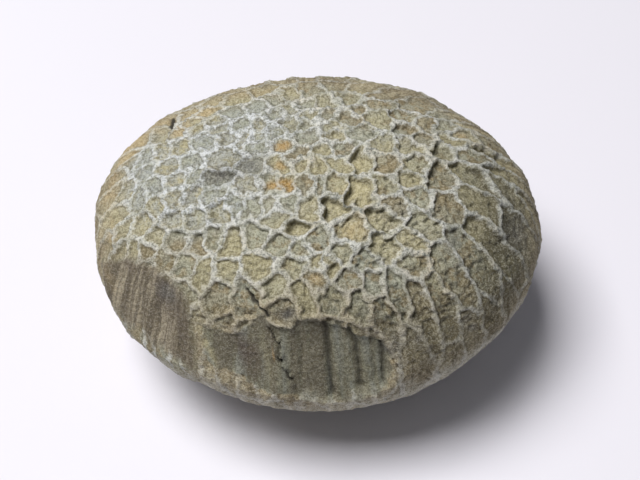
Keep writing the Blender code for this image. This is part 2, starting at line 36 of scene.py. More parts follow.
HALF_SIZE = np.array([33.5, 28.0, 18.8])
MIDDLE = np.array([-0.3, -0.06, 17.0])
WORN_SHARPNESS = 14
WORN_SIDES = (
    # azimuth and elevation in degrees, distance from the middle
    (16, 13, 35.8),
    (53, 34, 32.2),
    (115, 37, 27.0),
    (152, 22, 34.5),
    (-168, -10, 32.1),
    (-140, -29, 29.9),
    (-113, -38, 25.5),
    (-73, -39, 27.0),
    (-40, -29, 28.5),
    (-17, -14, 33.0),
)
BROKEN_FACES = (
    (-86, 24, 25.1),
    (-104, 26, 25.4),
    (-131, 24, 27.1),
)
DENTS = (
    # azimuth, elevation, half width in degrees, depth
    (38, 14, 6, 0.5),
    (66, 24, 5, 0.3),
    (-152, -24, 6, 0.7),
    (88, 30, 6, 0.3),
)
SWELL_HEIGHT = 0.1
SWELL_WAVES = (
    (2.3, 3.1, 1.7, 0.4),
    (-3.9, 2.2, 2.8, 1.9),
    (3.4, -4.6, 2.1, 3.3),
)

# Tube mouths on the crown, by the depth of their filling: millimetres right and back of
# the top, over the crown as if it were pressed flat. The solid's mouths are the same.
SHALLOW_MOUTHS = (
    (-6.8, 0.2), (-4.0, -0.2), (-3.9, -3.4), (-1.4, -3.6), (-1.2, -6.2), (-3.1, -6.5),
    (-5.2, -6.0), (-7.2, -3.0), (-8.2, -6.2), (-9.3, -8.2), (-7.4, -8.8), (-5.4, -9.1),
    (-3.3, -9.0), (-4.6, -11.2), (-0.8, -10.0), (0.3, -3.6), (0.5, -6.3), (2.6, -3.3),
    (1.2, -0.9), (2.9, -0.4), (9.6, -8.7), (11.7, -13.7), (12.4, -16.6), (0.1, -14.4),
    (0.5, -16.9), (3.3, -16.2), (-1.9, -15.0), (-6.9, -17.6), (0.0, -19.3), (-11.4, -18.0),
    (-24.2, -4.6), (-21.2, -3.6), (-20.6, -6.8), (-17.8, -3.2), (-15.2, -3.3), (-11.6, -1.4),
    (-12.6, -7.0), (-15.4, -6.6), (-18.2, -6.4), (-16.0, -0.8), (-14.4, -17.6), (-28.5, -6.0),
    (-28.4, -9.2), (-26.6, -2.0), (-29.8, -1.2), (-25.6, -12.8), (-8.9, 2.2), (-9.3, 4.6),
    (-7.1, 4.2), (-7.1, 1.9), (-3.1, 7.3), (1.3, 5.8), (1.4, 3.3), (-0.6, 1.6), (2.4, 1.9),
    (8.7, 9.6), (8.0, 5.9), (5.8, 2.6), (8.6, 0.9), (13.6, 11.2), (-10.4, 7.4), (-12.8, 5.7),
    (-14.7, 9.2), (-16.2, 7.3), (-20.0, 2.4), (-13.8, 2.4), (-10.6, 2.7), (-23.7, 2.7),
    (-15.4, 5.4), (-12.3, 4.6), (16.9, 6.8), (17.6, 4.3), (21.9, -6.2),
    (-19.2, -0.6), (-22.6, -0.6), (-26.0, 3.4), (14.9, 6.4), (-7.5, 8.3),
    (-5.2, 10.4), (-17.6, 2.6), (-23.2, -12.9), (-20.4, -15.2), (-16.9, -16.4), (-11.0, 11.8),
    (-13.8, 12.4), (-3.5, 11.4), (-0.7, 12.6), (2.4, 14.2), (6.8, 14.6), (9.4, 13.2), (-17.8, 11.2),
    (-21.6, 12.0), (-26.1, 8.6), (-28.6, 5.4), (-30.0, 2.0), (21.5, 12.6), (25.0, 11.6),
)
SUNKEN_MOUTHS = (
    (-2.5, -1.8), (2.0, -6.2), (8.4, -3.0), (8.5, -6.3), (12.2, -2.4), (11.2, -4.7),
    (11.8, -7.2), (16.2, -8.2), (12.8, -11.2), (4.3, -12.6), (8.5, -14.6),
    (-4.4, -14.7), (-7.3, -13.3), (-10.3, -14.0), (6.0, -17.0), (7.2, -19.6), (10.4, -20.2),
    (-2.7, -17.9), (4.1, -19.4), (-4.9, -20.4), (-1.6, -21.4), (2.3, -21.6), (1.9, -17.6),
    (-23.3, -9.3), (-18.4, -9.4), (-15.0, -10.0), (-11.9, -8.8), (-21.6, -11.6),
    (-18.3, -12.6), (-13.0, -12.9), (-5.3, 2.4), (-5.0, 6.1), (-3.5, 4.1), (-1.2, 8.4),
    (-0.5, 6.0), (-1.0, 3.6), (4.1, 5.6), (1.4, 9.6), (11.6, 7.4), (11.4, 0.8), (13.9, 3.2),
    (-18.2, 6.0), (20.2, 6.5), (21.8, 2.2), (28.8, -2.2), (21.0, -14.7), (17.2, -16.6),
    (27.5, 1.5), (25.5, 7.8), (5.2, 7.4), (-12.5, -20.8), (-9.0, -21.6),
    (8.9, -24.0), (5.6, -22.6), (-29.2, -12.6), (-14.8, -13.6), (4.0, 10.6),
)
DEEP_MOUTHS = (
    (5.3, -2.5), (5.2, -7.2), (2.1, -9.8), (15.2, -3.4), (8.3, -11.2), (-2.3, -12.9),
    (-12.0, -4.4), (16.3, 2.2), (11.9, 4.5), (21.3, -1.9), (26.3, 4.2), (-21.6, 7.4),
    (-3.9, -23.4), (13.9, -21.6),
)
SIDE_TUBES = (
    (-14.6, -32.0), (-11.4, -32.4), (-8.3, -32.4), (-4.6, -32.4), (-0.6, -32.4), (3.6, -32.6),
    (7.4, -32.8), (10.8, -33.4), (16.6, -21.2), (25.5, -12.4), (29.8, -8.6), (35.0, -2.0),
    (-19.0, -21.5), (-22.0, -19.5), (-25.0, -17.0), (-28.0, -16.0), (-31.0, -10.0),
)
SHALLOW_DEPTH = 0.3
SUNKEN_DEPTH = 0.55
DEEP_DEPTH = 1.0
SIDE_DEPTH = 0.6
DEPTH_SPREAD = 0.3
FLOOR_SLOPE = 0.09
FLOOR_ROUGHNESS = ((1.3, 0.08), (0.6, 0.07))
WALL_HALF_WIDTH = 0.16
WALL_WIDTH_SPREAD = 0.07
WALL_WIDTH_WAVELENGTH = 2.0
WALL_SLOPE = 0.42
CORNER_ROUNDING = 0.13
SIDE_RELIEF = 0.2
SIDE_START = np.radians(54)
SIDE_END = np.radians(72)
TUBE_PITCH = 3.25
TUBE_SCATTER = 0.55
TUBE_CLEARANCE = 2.8
MAP_REACH = 36.0
SEED = 3
NEIGHBOURS = 8
PLACES_AT_ONCE = 4000

# The map of tubes: millimetres for each radian from its pole. The pole leans by two angles,
# to the left and to the back. Past the rim, which is a circle about a middle to the left
# and front of the pole, the tubes lie down along the surface, so the map shortens there.
MAP_SCALE = np.array([30.0, 26.0])
POLE_LEAN = np.radians((-2.0, 6.0))
RIM_MIDDLE = np.radians((-6.5, -15.0))
RIM_REACH = np.radians(45.5)
RIM_SOFTNESS = np.radians(5)
RIM_SHORTENING = 0.15
STEP_ON_BALL = 0.002

# The rubbed belt at the bottom: heights about the middle where it ends and where the walls stand in
# full, how its edge wavers, how much higher and paler it is at the two ends, and how far out that
# is. Its paleness is partly painted light bounced up from the floor.
BELT_BOTTOM = -3.0
BELT_TOP = 0.0
BELT_WAVER = 0.6
BELT_WAVELENGTH = 4.0
BELT_RISE = 2.8
BELT_RISE_REACH = 24.0
BELT_FAINTEST = 0.6

# The grid: cells along each side of a box that is blown out to a ball, and how far the
# ball's points are drawn toward the crown's front, where the relief is
GRID_CELLS = (160, 136, 94)
GRID_PULL = 0.48 * np.array([0.0, -0.5, 0.87])

# Noises: wavelength, and reach or height, in millimetres
WAVER = ((2.4, 0.15), (0.9, 0.06))
ROUGHNESS = ((6.0, 0.1), (2.2, 0.03), (1.1, 0.035), (0.6, 0.03))
PIT_WAVELENGTH = 0.8
PIT_DEPTH = 0.2
PIT_START = 0.9
WAVES_IN_NOISE = 48
WAVELENGTH_SPREAD = (0.7, 1.4)


def facing(azimuth, elevation):
    """Unit vector of an azimuth and an elevation in degrees."""
    a, e = np.radians(azimuth), np.radians(elevation)
    return np.array([np.cos(a) * np.cos(e), np.sin(a) * np.cos(e), np.sin(e)])


def ease(x):
    """0 below 0, 1 above 1, and three x squared less two x cubed between."""
    t = np.clip(x, 0.0, 1.0)
    return t * t * (3.0 - 2.0 * t)


def outward(point):
    """Unit vectors from the middle to the points."""
    return point / np.linalg.norm(point, axis=1, keepdims=True)


def noise(place, wavelength, seed):
    """Smooth noise with mean 0 and variance 1: many sine waves in random directions, with
    lengths near one wavelength, added and divided by the root of half their number."""
    rng = np.random.default_rng(seed)
    way = rng.normal(size=(WAVES_IN_NOISE, place.shape[1]))
    way /= np.linalg.norm(way, axis=1, keepdims=True)
    turns = 2.0 * np.pi / (wavelength * rng.uniform(*WAVELENGTH_SPREAD, WAVES_IN_NOISE))
    phase = rng.uniform(0.0, 2.0 * np.pi, WAVES_IN_NOISE)
    waves = np.sin(place @ (way * turns[:, None]).T + phase)
    return waves.sum(axis=1) / math.sqrt(WAVES_IN_NOISE / 2.0)


def sway(place, wavelength, axes, seed):
    """One noise for each axis, side by side."""
    return np.stack([noise(place, wavelength, seed + axis) for axis in range(axes)], 1)


# ------------------------------------------------------------------ shape of the cobble


def body_points(ball):
    """An ellipsoid worn flatter: each unit vector times the half sizes, divided by the
    14th root of one plus the sum, over the worn sides, of the 14th power of how many
    times the point reaches past that side's plane. Swells are added and dents taken."""
    point = ball * HALF_SIZE
    size = np.ones(len(ball))
    for azimuth, elevation, distance in WORN_SIDES:
        reach = point @ facing(azimuth, elevation) / distance
        size += np.maximum(reach, 0.0) ** WORN_SHARPNESS
    point = point * (size ** (-1.0 / WORN_SHARPNESS))[:, None]
    return point + outward(point) * (swell(ball) - dents(point))[:, None]


def swell(ball):
    """Height of the low swells: the sum of three sine waves over the ball."""
    height = np.zeros(len(ball))
    for x, y, z, phase in SWELL_WAVES:
        height += np.sin(ball @ np.array([x, y, z]) + phase)
    return SWELL_HEIGHT * height


def dents(point):
    """Depth of the dents: for each, a bell curve of the angle from its middle."""
    depth = np.zeros(len(point))
    for azimuth, elevation, width, dent in DENTS:
        angle = np.degrees(np.arccos(np.clip(outward(point) @ facing(azimuth, elevation), -1, 1)))
        depth += dent * np.exp(-(angle / width) ** 2)
    return depth


def break_rim(point):
    """Points past a broken face's plane are divided by how many times they reach past it,
    which lays them on the plane."""
    reach = np.stack([point @ facing(azimuth, elevation) / distance
                      for azimuth, elevation, distance in BROKEN_FACES], 1)
    return point / np.maximum(reach.max(axis=1), 1.0)[:, None]


def streak_map(place):
    """Places for streaks that run along the tubes of the sides: the way from the pole of
    the map times one radius, plus a little of the distance."""
    return outward(place) * STREAK_RADIUS + place * STREAK_RUN


def stand_flat(point):
    """Points under the floor are drawn toward the middle until they lie on it."""
    sunk = np.maximum(-point[:, 2] / MIDDLE[2], 1.0)
    return point / sunk[:, None]


def shortened(angle, bend, softness, shortening):
    """An angle that grows by its full step before the bend and by the shortened step after
    it, with a soft turn between."""
    past = softness * np.logaddexp(0.0, (angle - bend) / softness)
    return angle - (1.0 - shortening) * past


def pole_angles(ball):
    """Angle of unit vectors from straight up, and their turn about it."""
    return np.arccos(np.clip(ball[:, 2], -1.0, 1.0)), np.arctan2(ball[:, 1], ball[:, 0])


def plan_to_ball(plan):
    """Unit vectors of places on the crown pressed flat: the distance from the top, divided
    by the map's scale, is the angle from straight up."""
    x, y = (np.asarray(plan) / MAP_SCALE).T
    angle, turn = np.hypot(x, y), np.arctan2(y, x)
    return np.stack([np.cos(turn) * np.sin(angle), np.sin(turn) * np.sin(angle), np.cos(angle)], 1)


def ball_to_plan(ball):
    """Places of unit vectors on the crown pressed flat, the reverse of plan_to_ball."""
    angle, turn = pole_angles(ball)
    return np.stack([np.cos(turn), np.sin(turn)], 1) * angle[:, None] * MAP_SCALE


def pole_frame():
    """Three unit vectors as rows: to the right, to the back, and along the pole of the map
    of tubes, which leans from straight up."""
    lean, turn = np.hypot(*POLE_LEAN), np.arctan2(POLE_LEAN[1], POLE_LEAN[0])
    pole = facing(np.degrees(turn), 90.0 - np.degrees(lean))
    back = outward(np.cross(pole, [[1.0, 0.0, 0.0]]))[0]
    return np.stack([np.cross(back, pole), back, pole])


def rim_angle(way):
    """The angle from the pole at which a way out from it leaves the rim's circle: for the
    circle's middle m and reach r, m.way plus the root of r r - m.m + (m.way)(m.way)."""
    ahead = way @ RIM_MIDDLE
    return ahead + np.sqrt(RIM_REACH ** 2 - RIM_MIDDLE @ RIM_MIDDLE + ahead ** 2)


def tube_map(ball):
    """Places of unit vectors on the map of tubes: the way from the pole times the angle
    from it, shortened past the rim, times the map's scale."""
    angle, turn = pole_angles(ball @ pole_frame().T)
    way = np.stack([np.cos(turn), np.sin(turn)], 1)
    reach = shortened(angle, rim_angle(way), RIM_SOFTNESS, RIM_SHORTENING)
    return way * reach[:, None] * MAP_SCALE


def map_stretch(ball):
    """For each unit vector, the matrix A that gives the map's length over the surface's
    length along a direction n of the map: the square root of n A n. Two small steps on the
    ball, square to each other, give two steps on the surface, whose products make the
    matrix G, and two on the map, the columns of M. A is M times the inverse of G times M
    turned. The first step is square to a fixed vector too, and any other would do."""
    side = outward(np.cross(ball, [0.0, 0.6, 0.8]))
    steps = (side, np.cross(ball, side))
    body, place = body_points(ball), tube_map(ball)
    moved = [outward(ball + STEP_ON_BALL * step) for step in steps]
    on_body = np.stack([body_points(end) - body for end in moved], 1)
    on_map = np.stack([tube_map(end) - place for end in moved], 2)
    products = on_body @ on_body.transpose(0, 2, 1)
    return on_map @ np.linalg.inv(products) @ on_map.transpose(0, 2, 1)


def tube_mouths():
    """All mouths on the map of tubes, and the depth of each one's filling: those listed,
    and a lattice of even triangles, with some scatter, wherever none of them is near."""
    rng = np.random.default_rng(SEED)
    groups = (
        (SHALLOW_MOUTHS, SHALLOW_DEPTH),
        (SUNKEN_MOUTHS, SUNKEN_DEPTH),
        (DEEP_MOUTHS, DEEP_DEPTH),
        (SIDE_TUBES, SIDE_DEPTH),
    )
    placed = np.concatenate([tube_map(plan_to_ball(plan)) for plan, _ in groups])
    depth = np.concatenate([np.full(len(plan), depth) for plan, depth in groups])
    steps = np.arange(-MAP_REACH, MAP_REACH, TUBE_PITCH)
    column, row = np.meshgrid(steps, steps)
    column = column + 0.5 * TUBE_PITCH * (np.arange(len(steps)) % 2)[:, None]
    lattice = np.stack([column.ravel(), row.ravel() * np.sqrt(0.75)], 1)
    lattice = lattice + rng.uniform(-TUBE_SCATTER, TUBE_SCATTER, lattice.shape)
    gap = np.linalg.norm(lattice[:, None] - placed[None], axis=2).min(axis=1)
    rest = lattice[gap > TUBE_CLEARANCE]
    rest_depth = rng.uniform(SHALLOW_DEPTH, SUNKEN_DEPTH, len(rest))
    return np.concatenate([placed, rest]), np.concatenate([depth, rest_depth])


def wall_distance(place, stretch, mouth):
    """Distance in millimetres from each place to its tube's wall, and the tube's number.

    A wall stands midway between two mouths, so for mouths a and b at squared distances
    da and db it is (db - da) / (2 |b - a|) away on the map. Dividing by the map's stretch
    along that line gives the distance on the surface. Where two walls are near, the log of
    the sum of their closeness is taken off, which rounds the corners of the fillings.
    """
    distance = np.empty(len(place))
    tube = np.empty(len(place), dtype=int)
    for part in np.array_split(np.arange(len(place)), 1 + len(place) // PLACES_AT_ONCE):
        squared = ((place[part, None] - mouth[None]) ** 2).sum(axis=2)
        near = np.argpartition(squared, NEIGHBOURS, axis=1)[:, :NEIGHBOURS]
        near_squared = np.take_along_axis(squared, near, axis=1)
        order = np.argsort(near_squared, axis=1)
        near = np.take_along_axis(near, order, axis=1)
        near_squared = np.take_along_axis(near_squared, order, axis=1)
        line = mouth[near[:, 1:]] - mouth[near[:, :1]]
        length = np.linalg.norm(line, axis=2)
        on_map = (near_squared[:, 1:] - near_squared[:, :1]) / (2.0 * length)
        square = np.einsum("pni,pij,pnj->pn", line, stretch[part], line)
        walls = on_map * length / np.sqrt(square)
        nearest = walls.min(axis=1)
        crowding = np.exp((nearest[:, None] - walls) / CORNER_ROUNDING).sum(axis=1)
        distance[part] = nearest - CORNER_ROUNDING * np.log(crowding)
        tube[part] = near[:, 0]
    return distance, tube


def blotches(plan, spots):
    """Sum of soft spots on the crown pressed flat: for each, its strength times a bell
    curve of the distance from its middle over its half sizes."""
    mask = np.zeros(len(plan))
    for x, y, half_x, half_y, strength in spots:
        distance = ((plan[:, 0] - x) / half_x) ** 2 + ((plan[:, 1] - y) / half_y) ** 2
        mask += strength * np.exp(-distance)
    return mask


def gap_to_line(plan, start, end):
    """Distance of each place from a straight line between two points."""
    start, step = np.array(start), np.subtract(end, start)
    along = np.clip((plan - start) @ step / (step @ step), 0.0, 1.0)
    return np.linalg.norm(plan - start - along[:, None] * step, axis=1)


def stroke(plan, line, width):
    """Bell curve of the distance from a line through points on the crown pressed flat."""
    gaps = [gap_to_line(plan, start, end) for start, end in zip(line[:-1], line[1:])]
    return np.exp(-(np.min(gaps, axis=0) / width) ** 2)


def depth_inside(plan, corners):
    """How far each place is inside a closed line, and below 0 outside it: the distance
    from its nearest edge, inside where a line to the right crosses an odd number of edges."""
    ends = corners[1:] + corners[:1]
    gap = np.min([gap_to_line(plan, start, end) for start, end in zip(corners, ends)], axis=0)
    x, y = plan.T
    inside = np.zeros(len(plan), dtype=bool)
    for (x0, y0), (x1, y1) in zip(corners, ends):
        if y0 != y1:
            spans = (y0 > y) != (y1 > y)
            inside ^= spans & (x < x0 + (y - y0) / (y1 - y0) * (x1 - x0))
    return np.where(inside, gap, -gap)


# Broken areas: how softly each begins, how far it is set back under its ledge, the height
# of its streaks, and its edge on the crown pressed flat. The front holds the columns, and
# shares their edge: under the ledge from left to right, then down and back at the bottom.
COLUMNS_EDGE = (
    (-4.0, -26.8), (-2.8, -25.7), (-2.2, -25.0), (-0.4, -25.1), (2.0, -25.9), (4.9, -26.6),
    (5.9, -27.9), (8.8, -28.4), (10.5, -28.9), (12.1, -31.4), (13.0, -34.4), (13.4, -37.4),
    (11.8, -40.0), (8.5, -42.0), (-0.9, -42.0), (-4.0, -40.2),
)
FRONT = (0.3, 0.15, 0.015, (
    (-16.5, -25.1), (-15.6, -26.0), (-12.3, -27.5), (-9.4, -26.0), (-7.1, -23.4), (-6.3, -25.1),
    (-5.4, -26.5),
) + COLUMNS_EDGE + (
    (-9.5, -38.8), (-12.0, -37.2), (-14.4, -35.1), (-17.3, -34.3), (-19.0, -32.6), (-18.1, -30.4),
    (-17.2, -27.5),
))
COLUMNS = (0.3, 0.5, 0.0, ((-6.4, -26.4),) + COLUMNS_EDGE + (
    (-4.3, -37.0), (-5.3, -34.9), (-5.9, -33.0), (-5.4, -30.6),
))
STREAKY_SIDE = (1.8, 0.0, 0.07, (
    (-37.0, -10.5), (-28.0, -12.3), (-22.5, -14.1), (-19.5, -17.1), (-17.2, -19.1),
    (-16.8, -21.6), (-17.6, -25.5), (-18.6, -29.5), (-20.2, -35.0), (-27.0, -37.0),
    (-37.0, -30.0), (-43.0, -17.0),
))
BREAKS = {"front": FRONT, "columns": COLUMNS, "streaky": STREAKY_SIDE}
EDGE_WAVER = 0.18
EDGE_WAVELENGTH = 1.3
GROOVE_WAVER = 0.07
LEDGE_WIDTH = 0.5
FACE_STEP = 0.5
FACE_ROUGHNESS = 0.6
STREAK_RADIUS = 24.0
STREAK_RUN = 0.25
STREAK_WAVELENGTH = 0.8

# Cracks and the grooves between the columns of the broken faces: half width, depth and
# points on the crown pressed flat
CRACKS = (
    (0.22, 0.6, ((-9.1, -20.5), (-8.5, -21.4), (-8.1, -22.3), (-6.8, -23.3), (-6.2, -24.6))),
    (0.2, 0.5, ((-6.4, -27.0), (-5.9, -29.3), (-5.4, -30.6), (-5.8, -33.0), (-5.2, -34.9),
                (-4.2, -37.2))),
    (0.3, 0.8, ((-21.1, 12.6), (-20.6, 10.4), (-20.3, 7.8), (-20.5, 5.0))),
)
GROOVES = (
    (0.4, 0.25, ((-2.3, -26.4), (-2.1, -28.7), (-2.2, -37.0))),
    (0.6, 0.6, ((1.4, -26.1), (2.0, -30.0), (2.5, -34.1), (3.4, -41.0))),
    (0.6, 0.5, ((4.8, -27.0), (6.4, -29.9), (7.6, -34.0), (9.1, -41.0))),
    (0.3, 0.25, ((8.3, -28.8), (9.7, -32.7), (11.3, -37.0))),
    (0.5, 0.5, ((10.3, -29.0), (11.7, -33.5), (13.0, -39.0))),
    (0.5, 0.2, ((-7.0, -26.5), (-6.8, -37.0))),
    (0.5, 0.12, ((-9.8, -27.5), (-10.1, -37.5))),
    (0.5, 0.12, ((-12.6, -28.5), (-13.6, -34.5))),
    (0.6, 0.25, ((-17.6, -21.5), (-19.4, -31.0))),
    (0.6, 0.3, ((-20.4, -19.0), (-23.4, -30.0))),
    (0.6, 0.3, ((-23.4, -16.5), (-27.4, -27.0))),
    (0.5, 0.25, ((-26.0, -14.5), (-31.0, -24.5))),
    (0.5, 0.25, ((-28.6, -13.5), (-34.5, -21.5))),
)
CRACK_WAVER = 0.12
CRACK_WAVELENGTH = 1.6

# Blotches of colour: middle, half sizes and strength on the crown pressed flat
COATING = (
    (-15.0, -2.0, 8.0, 6.5, 1.0),
    (-9.0, 3.5, 7.0, 4.0, 0.7),
    (-23.0, -1.0, 4.5, 7.0, 0.8),
    (-14.0, -9.0, 7.0, 4.0, 0.5),
    (-2.0, -9.0, 6.0, 3.0, 0.25),
    (8.0, 2.0, 10.0, 3.5, 0.35),
    (12.0, -11.0, 7.0, 5.0, 0.3),
    (-4.0, 9.0, 9.0, 3.0, 0.4),
)
OCHRE = (
    (-31.5, 0.0, 3.2, 5.0, 0.6),
    (-30.2, -9.5, 2.2, 3.6, 0.7),
    (-34.5, -15.0, 2.6, 4.5, 0.5),
    (-28.0, 7.0, 3.4, 4.0, 0.9),
    (-14.7, 9.8, 2.2, 1.6, 0.9),
    (-18.2, 6.4, 2.0, 2.2, 0.9),
    (-22.0, 11.5, 8.0, 3.5, 0.6),
    (-8.0, 13.5, 6.0, 2.0, 0.5),
    (20.2, 6.5, 1.8, 1.5, 0.8),
    (22.0, 11.0, 6.0, 3.0, 0.4),
    (4.3, -12.4, 2.2, 1.8, 0.5),
    (0.0, -19.3, 1.3, 1.3, 0.6),
    (-0.8, -24.0, 2.0, 1.4, 0.3),
)
RUST = (
    (-4.0, 0.0, 1.9, 1.4, 0.7),
    (-4.2, -3.2, 1.6, 1.3, 0.6),
    (-3.2, -6.4, 1.5, 1.3, 0.8),
    (-5.3, -6.2, 1.4, 1.1, 0.6),
    (11.4, -29.6, 0.8, 1.2, 0.5),
    (12.8, -32.6, 0.8, 1.6, 0.5),
    (-6.6, -32.0, 0.5, 2.6, 0.6),
)
DARK_STAINS_AND_SHADOW = (
    (-8.0, -2.9, 2.2, 1.7, 0.8),
    # Painted shadow in the arc at the top of a deep pit
    (-12.0, -3.8, 1.8, 1.0, 1.2),
    (30.0, -8.6, 3.2, 3.6, 0.7),
    (11.8, -29.8, 1.1, 1.8, 1.1),
    (-21.4, -20.2, 1.8, 1.8, 0.9),
    (-3.6, -24.6, 1.1, 1.0, 1.4),
    (24.7, -25.4, 0.7, 0.7, 0.9),
    (17.6, -13.2, 1.2, 1.6, 0.5),
    (22.8, -24.0, 1.0, 1.6, 0.5),
    (15.2, -27.7, 0.8, 1.4, 0.6),
    (27.0, -3.6, 2.2, 1.8, 0.3),
)
PURPLE = (
    (-11.4, -31.0, 1.5, 5.0, 1.1),
    (-9.2, -33.0, 1.2, 4.0, 0.6),
    (-6.6, -30.5, 0.7, 4.0, 0.5),
    (-22.0, -21.5, 2.2, 4.2, 0.8),
    (-27.4, -14.4, 1.1, 1.8, 0.8),
)
# Where the fillings of the sides stay as deep as on the crown
OPEN_SIDES = (
    (14.5, -22.0, 6.5, 5.0, 1.0),
    (21.0, -14.5, 4.0, 3.0, 0.3),
    (26.0, -12.0, 3.0, 3.0, 0.2),
)
# Where the rim at the back and the left is rubbed nearly smooth
RUBBED = (
    (-31.0, 3.0, 4.5, 7.0, 1.0),
    (-25.0, 12.0, 6.0, 4.5, 1.0),
    (-14.0, 15.5, 7.0, 4.0, 1.0),
    (0.0, 17.5, 8.0, 4.0, 1.0),
    (13.0, 17.5, 8.0, 5.0, 1.0),
    (25.0, 13.0, 7.0, 4.5, 0.9),
    (33.0, 5.0, 4.0, 6.0, 0.8),
    (37.0, -5.0, 4.0, 7.0, 0.8),
)
# Yellower and paler stone, in fillings and down the broken front; the first three spots are painted
# light, in a yellow tone, on deep fillings
SANDY_AND_LIT = (
    (5.0, -2.6, 1.8, 1.5, 0.7),
    (4.6, -7.5, 2.4, 2.2, 1.0),
    (4.2, -12.7, 2.2, 1.8, 1.0),
    (12.8, -14.7, 4.0, 3.0, 0.3),
    (-17.2, -30.0, 0.6, 3.6, 0.9),
    (-7.6, -33.0, 0.6, 4.5, 0.3),
)
# Walls along the front rim, worn down to sandy stumps
BUFF = (
    (-12.0, -24.0, 8.0, 4.0, 1.0),
    (-2.0, -23.5, 9.0, 3.5, 0.8),
    (7.0, -25.0, 7.0, 5.0, 0.7),
    (-19.0, -17.0, 4.0, 4.0, 0.6),
    (16.0, -28.0, 8.0, 8.0, 0.5),
)
# Painted shade: the right and the front are painted browner and darker than the rest, where these
# sides turn from the lamp
SIDE_SHADE = (
    (28.0, -13.0, 8.0, 11.0, 1.4),
    (-4.0, -24.0, 14.0, 3.0, 0.5),
    (16.0, -28.0, 13.0, 8.0, 0.9),
    (27.0, -3.0, 5.0, 5.0, 0.5),
    (20.0, -1.0, 7.0, 6.0, 0.3),
    (-25.0, -23.0, 9.0, 9.0, 0.9),
    (-30.0, -10.5, 2.2, 2.0, 0.8),
)

# Each list of blotches by the name of its mask: stains, and among them painted shade and painted
# light
STAINS_AND_SHADES = {
    "coating": COATING,
    "ochre": OCHRE,
    "rust": RUST,
    "dark_stains_and_shadow": DARK_STAINS_AND_SHADOW,
    "purple": PURPLE,
    "side_shade": SIDE_SHADE,
    "sandy": SANDY_AND_LIT,
    "buff": BUFF,
}


def wavered(ball, point):
    """Unit vectors moved about by two noises, which makes the walls waver."""
    radius = np.linalg.norm(point, axis=1, keepdims=True)
    for seed, (wavelength, reach) in zip((11, 14), WAVER):
        ball = ball + reach / radius * sway(point, wavelength, axes=3, seed=seed)
    return outward(ball)


def coral_walls(point, ball):
    """Distance to the nearest wall between tubes, the tube's number, its filling's depth
    below the walls, and the place on the map of tubes."""
    mouth, depth = tube_mouths()
    place = tube_map(ball)
    distance, tube = wall_distance(tube_map(wavered(ball, point)), map_stretch(ball), mouth)
    rng = np.random.default_rng(SEED)
    depth = depth * rng.uniform(1.0 - DEPTH_SPREAD, 1.0 + DEPTH_SPREAD, len(mouth))
    slope = rng.uniform(-FLOOR_SLOPE, FLOOR_SLOPE, mouth.shape)
    sunk = depth[tube] + ((place - mouth[tube]) * slope[tube]).sum(axis=1)
    for seed, (wavelength, height) in enumerate(FLOOR_ROUGHNESS):
        sunk -= height * noise(point, wavelength, seed=51 + seed)
    width = WALL_HALF_WIDTH + WALL_WIDTH_SPREAD * noise(point, WALL_WIDTH_WAVELENGTH, seed=19)
    return distance, tube, sunk * ease((distance - width) / WALL_SLOPE), place


def broken_areas(point, plan, place):
    """Four values for each point: how far the broken areas are lowered, how bare each area
    is, the ledge, and the grooves. The lowering is the grooves, plus a step back under the
    ledge, plus fine streaks, which are noise on the map of streaks. The ledge is a bell
    curve just outside the front's edge."""
    shift = sway(point, EDGE_WAVELENGTH, axes=2, seed=45)
    groove = strokes(plan + GROOVE_WAVER * shift, GROOVES)
    relief, bare, inside = groove.copy(), {}, {}
    for name, (softness, back, streak, corners) in BREAKS.items():
        inside[name] = depth_inside(plan + EDGE_WAVER * shift, corners)
        bare[name] = ease(inside[name] / softness)
        relief += back * ease(inside[name] / FACE_STEP)
        relief += bare[name] * streak * noise(streak_map(place), STREAK_WAVELENGTH, seed=31)
    ledge = np.exp(-((inside["front"] + LEDGE_WIDTH) / LEDGE_WIDTH) ** 2)
    return relief, bare, ledge, groove


def strokes(plan, lines):
    """Depth of several strokes: the deepest one at each point."""
    return np.max([depth * stroke(plan, line, width) for width, depth, line in lines], axis=0)


def roughness(point):
    """Height of the worn surface's unevenness: four noises, less small pits where a fifth
    one runs high."""
    rough = np.zeros(len(point))
    for seed, (wavelength, height) in enumerate(ROUGHNESS):
        rough += height * noise(point, wavelength, seed=20 + seed)
    return rough - PIT_DEPTH * ease(noise(point, PIT_WAVELENGTH, seed=27) - PIT_START)


def side_wear(ball, plan):
    """0 where the fillings are at their full depth and 1 where they are worn shallow: it
    grows from the rim down the sides, stays 0 in open spots and is 1 in rubbed ones."""
    angle, _ = pole_angles(ball)
    side = ease((angle - SIDE_START) / (SIDE_END - SIDE_START))
    side = side * (1.0 - np.minimum(blotches(plan, OPEN_SIDES), 1.0))
    return np.maximum(side, np.minimum(blotches(plan, RUBBED), 1.0))


def above_belt(point):
    """0 on the rubbed belt at the bottom and 1 above it, by a height that wavers, less a rise that
    grows toward the two ends; and how pale the belt is, which grows there too and is partly painted
    light bounced up from the floor."""
    end = ease(np.abs(point[:, 0]) / BELT_RISE_REACH)
    waver = BELT_WAVER * noise(point, BELT_WAVELENGTH, seed=43)
    height = point[:, 2] - BELT_RISE * end + waver
    fresh = ease((height - BELT_BOTTOM) / (BELT_TOP - BELT_BOTTOM))
    return fresh, BELT_FAINTEST + (1.0 - BELT_FAINTEST) * end


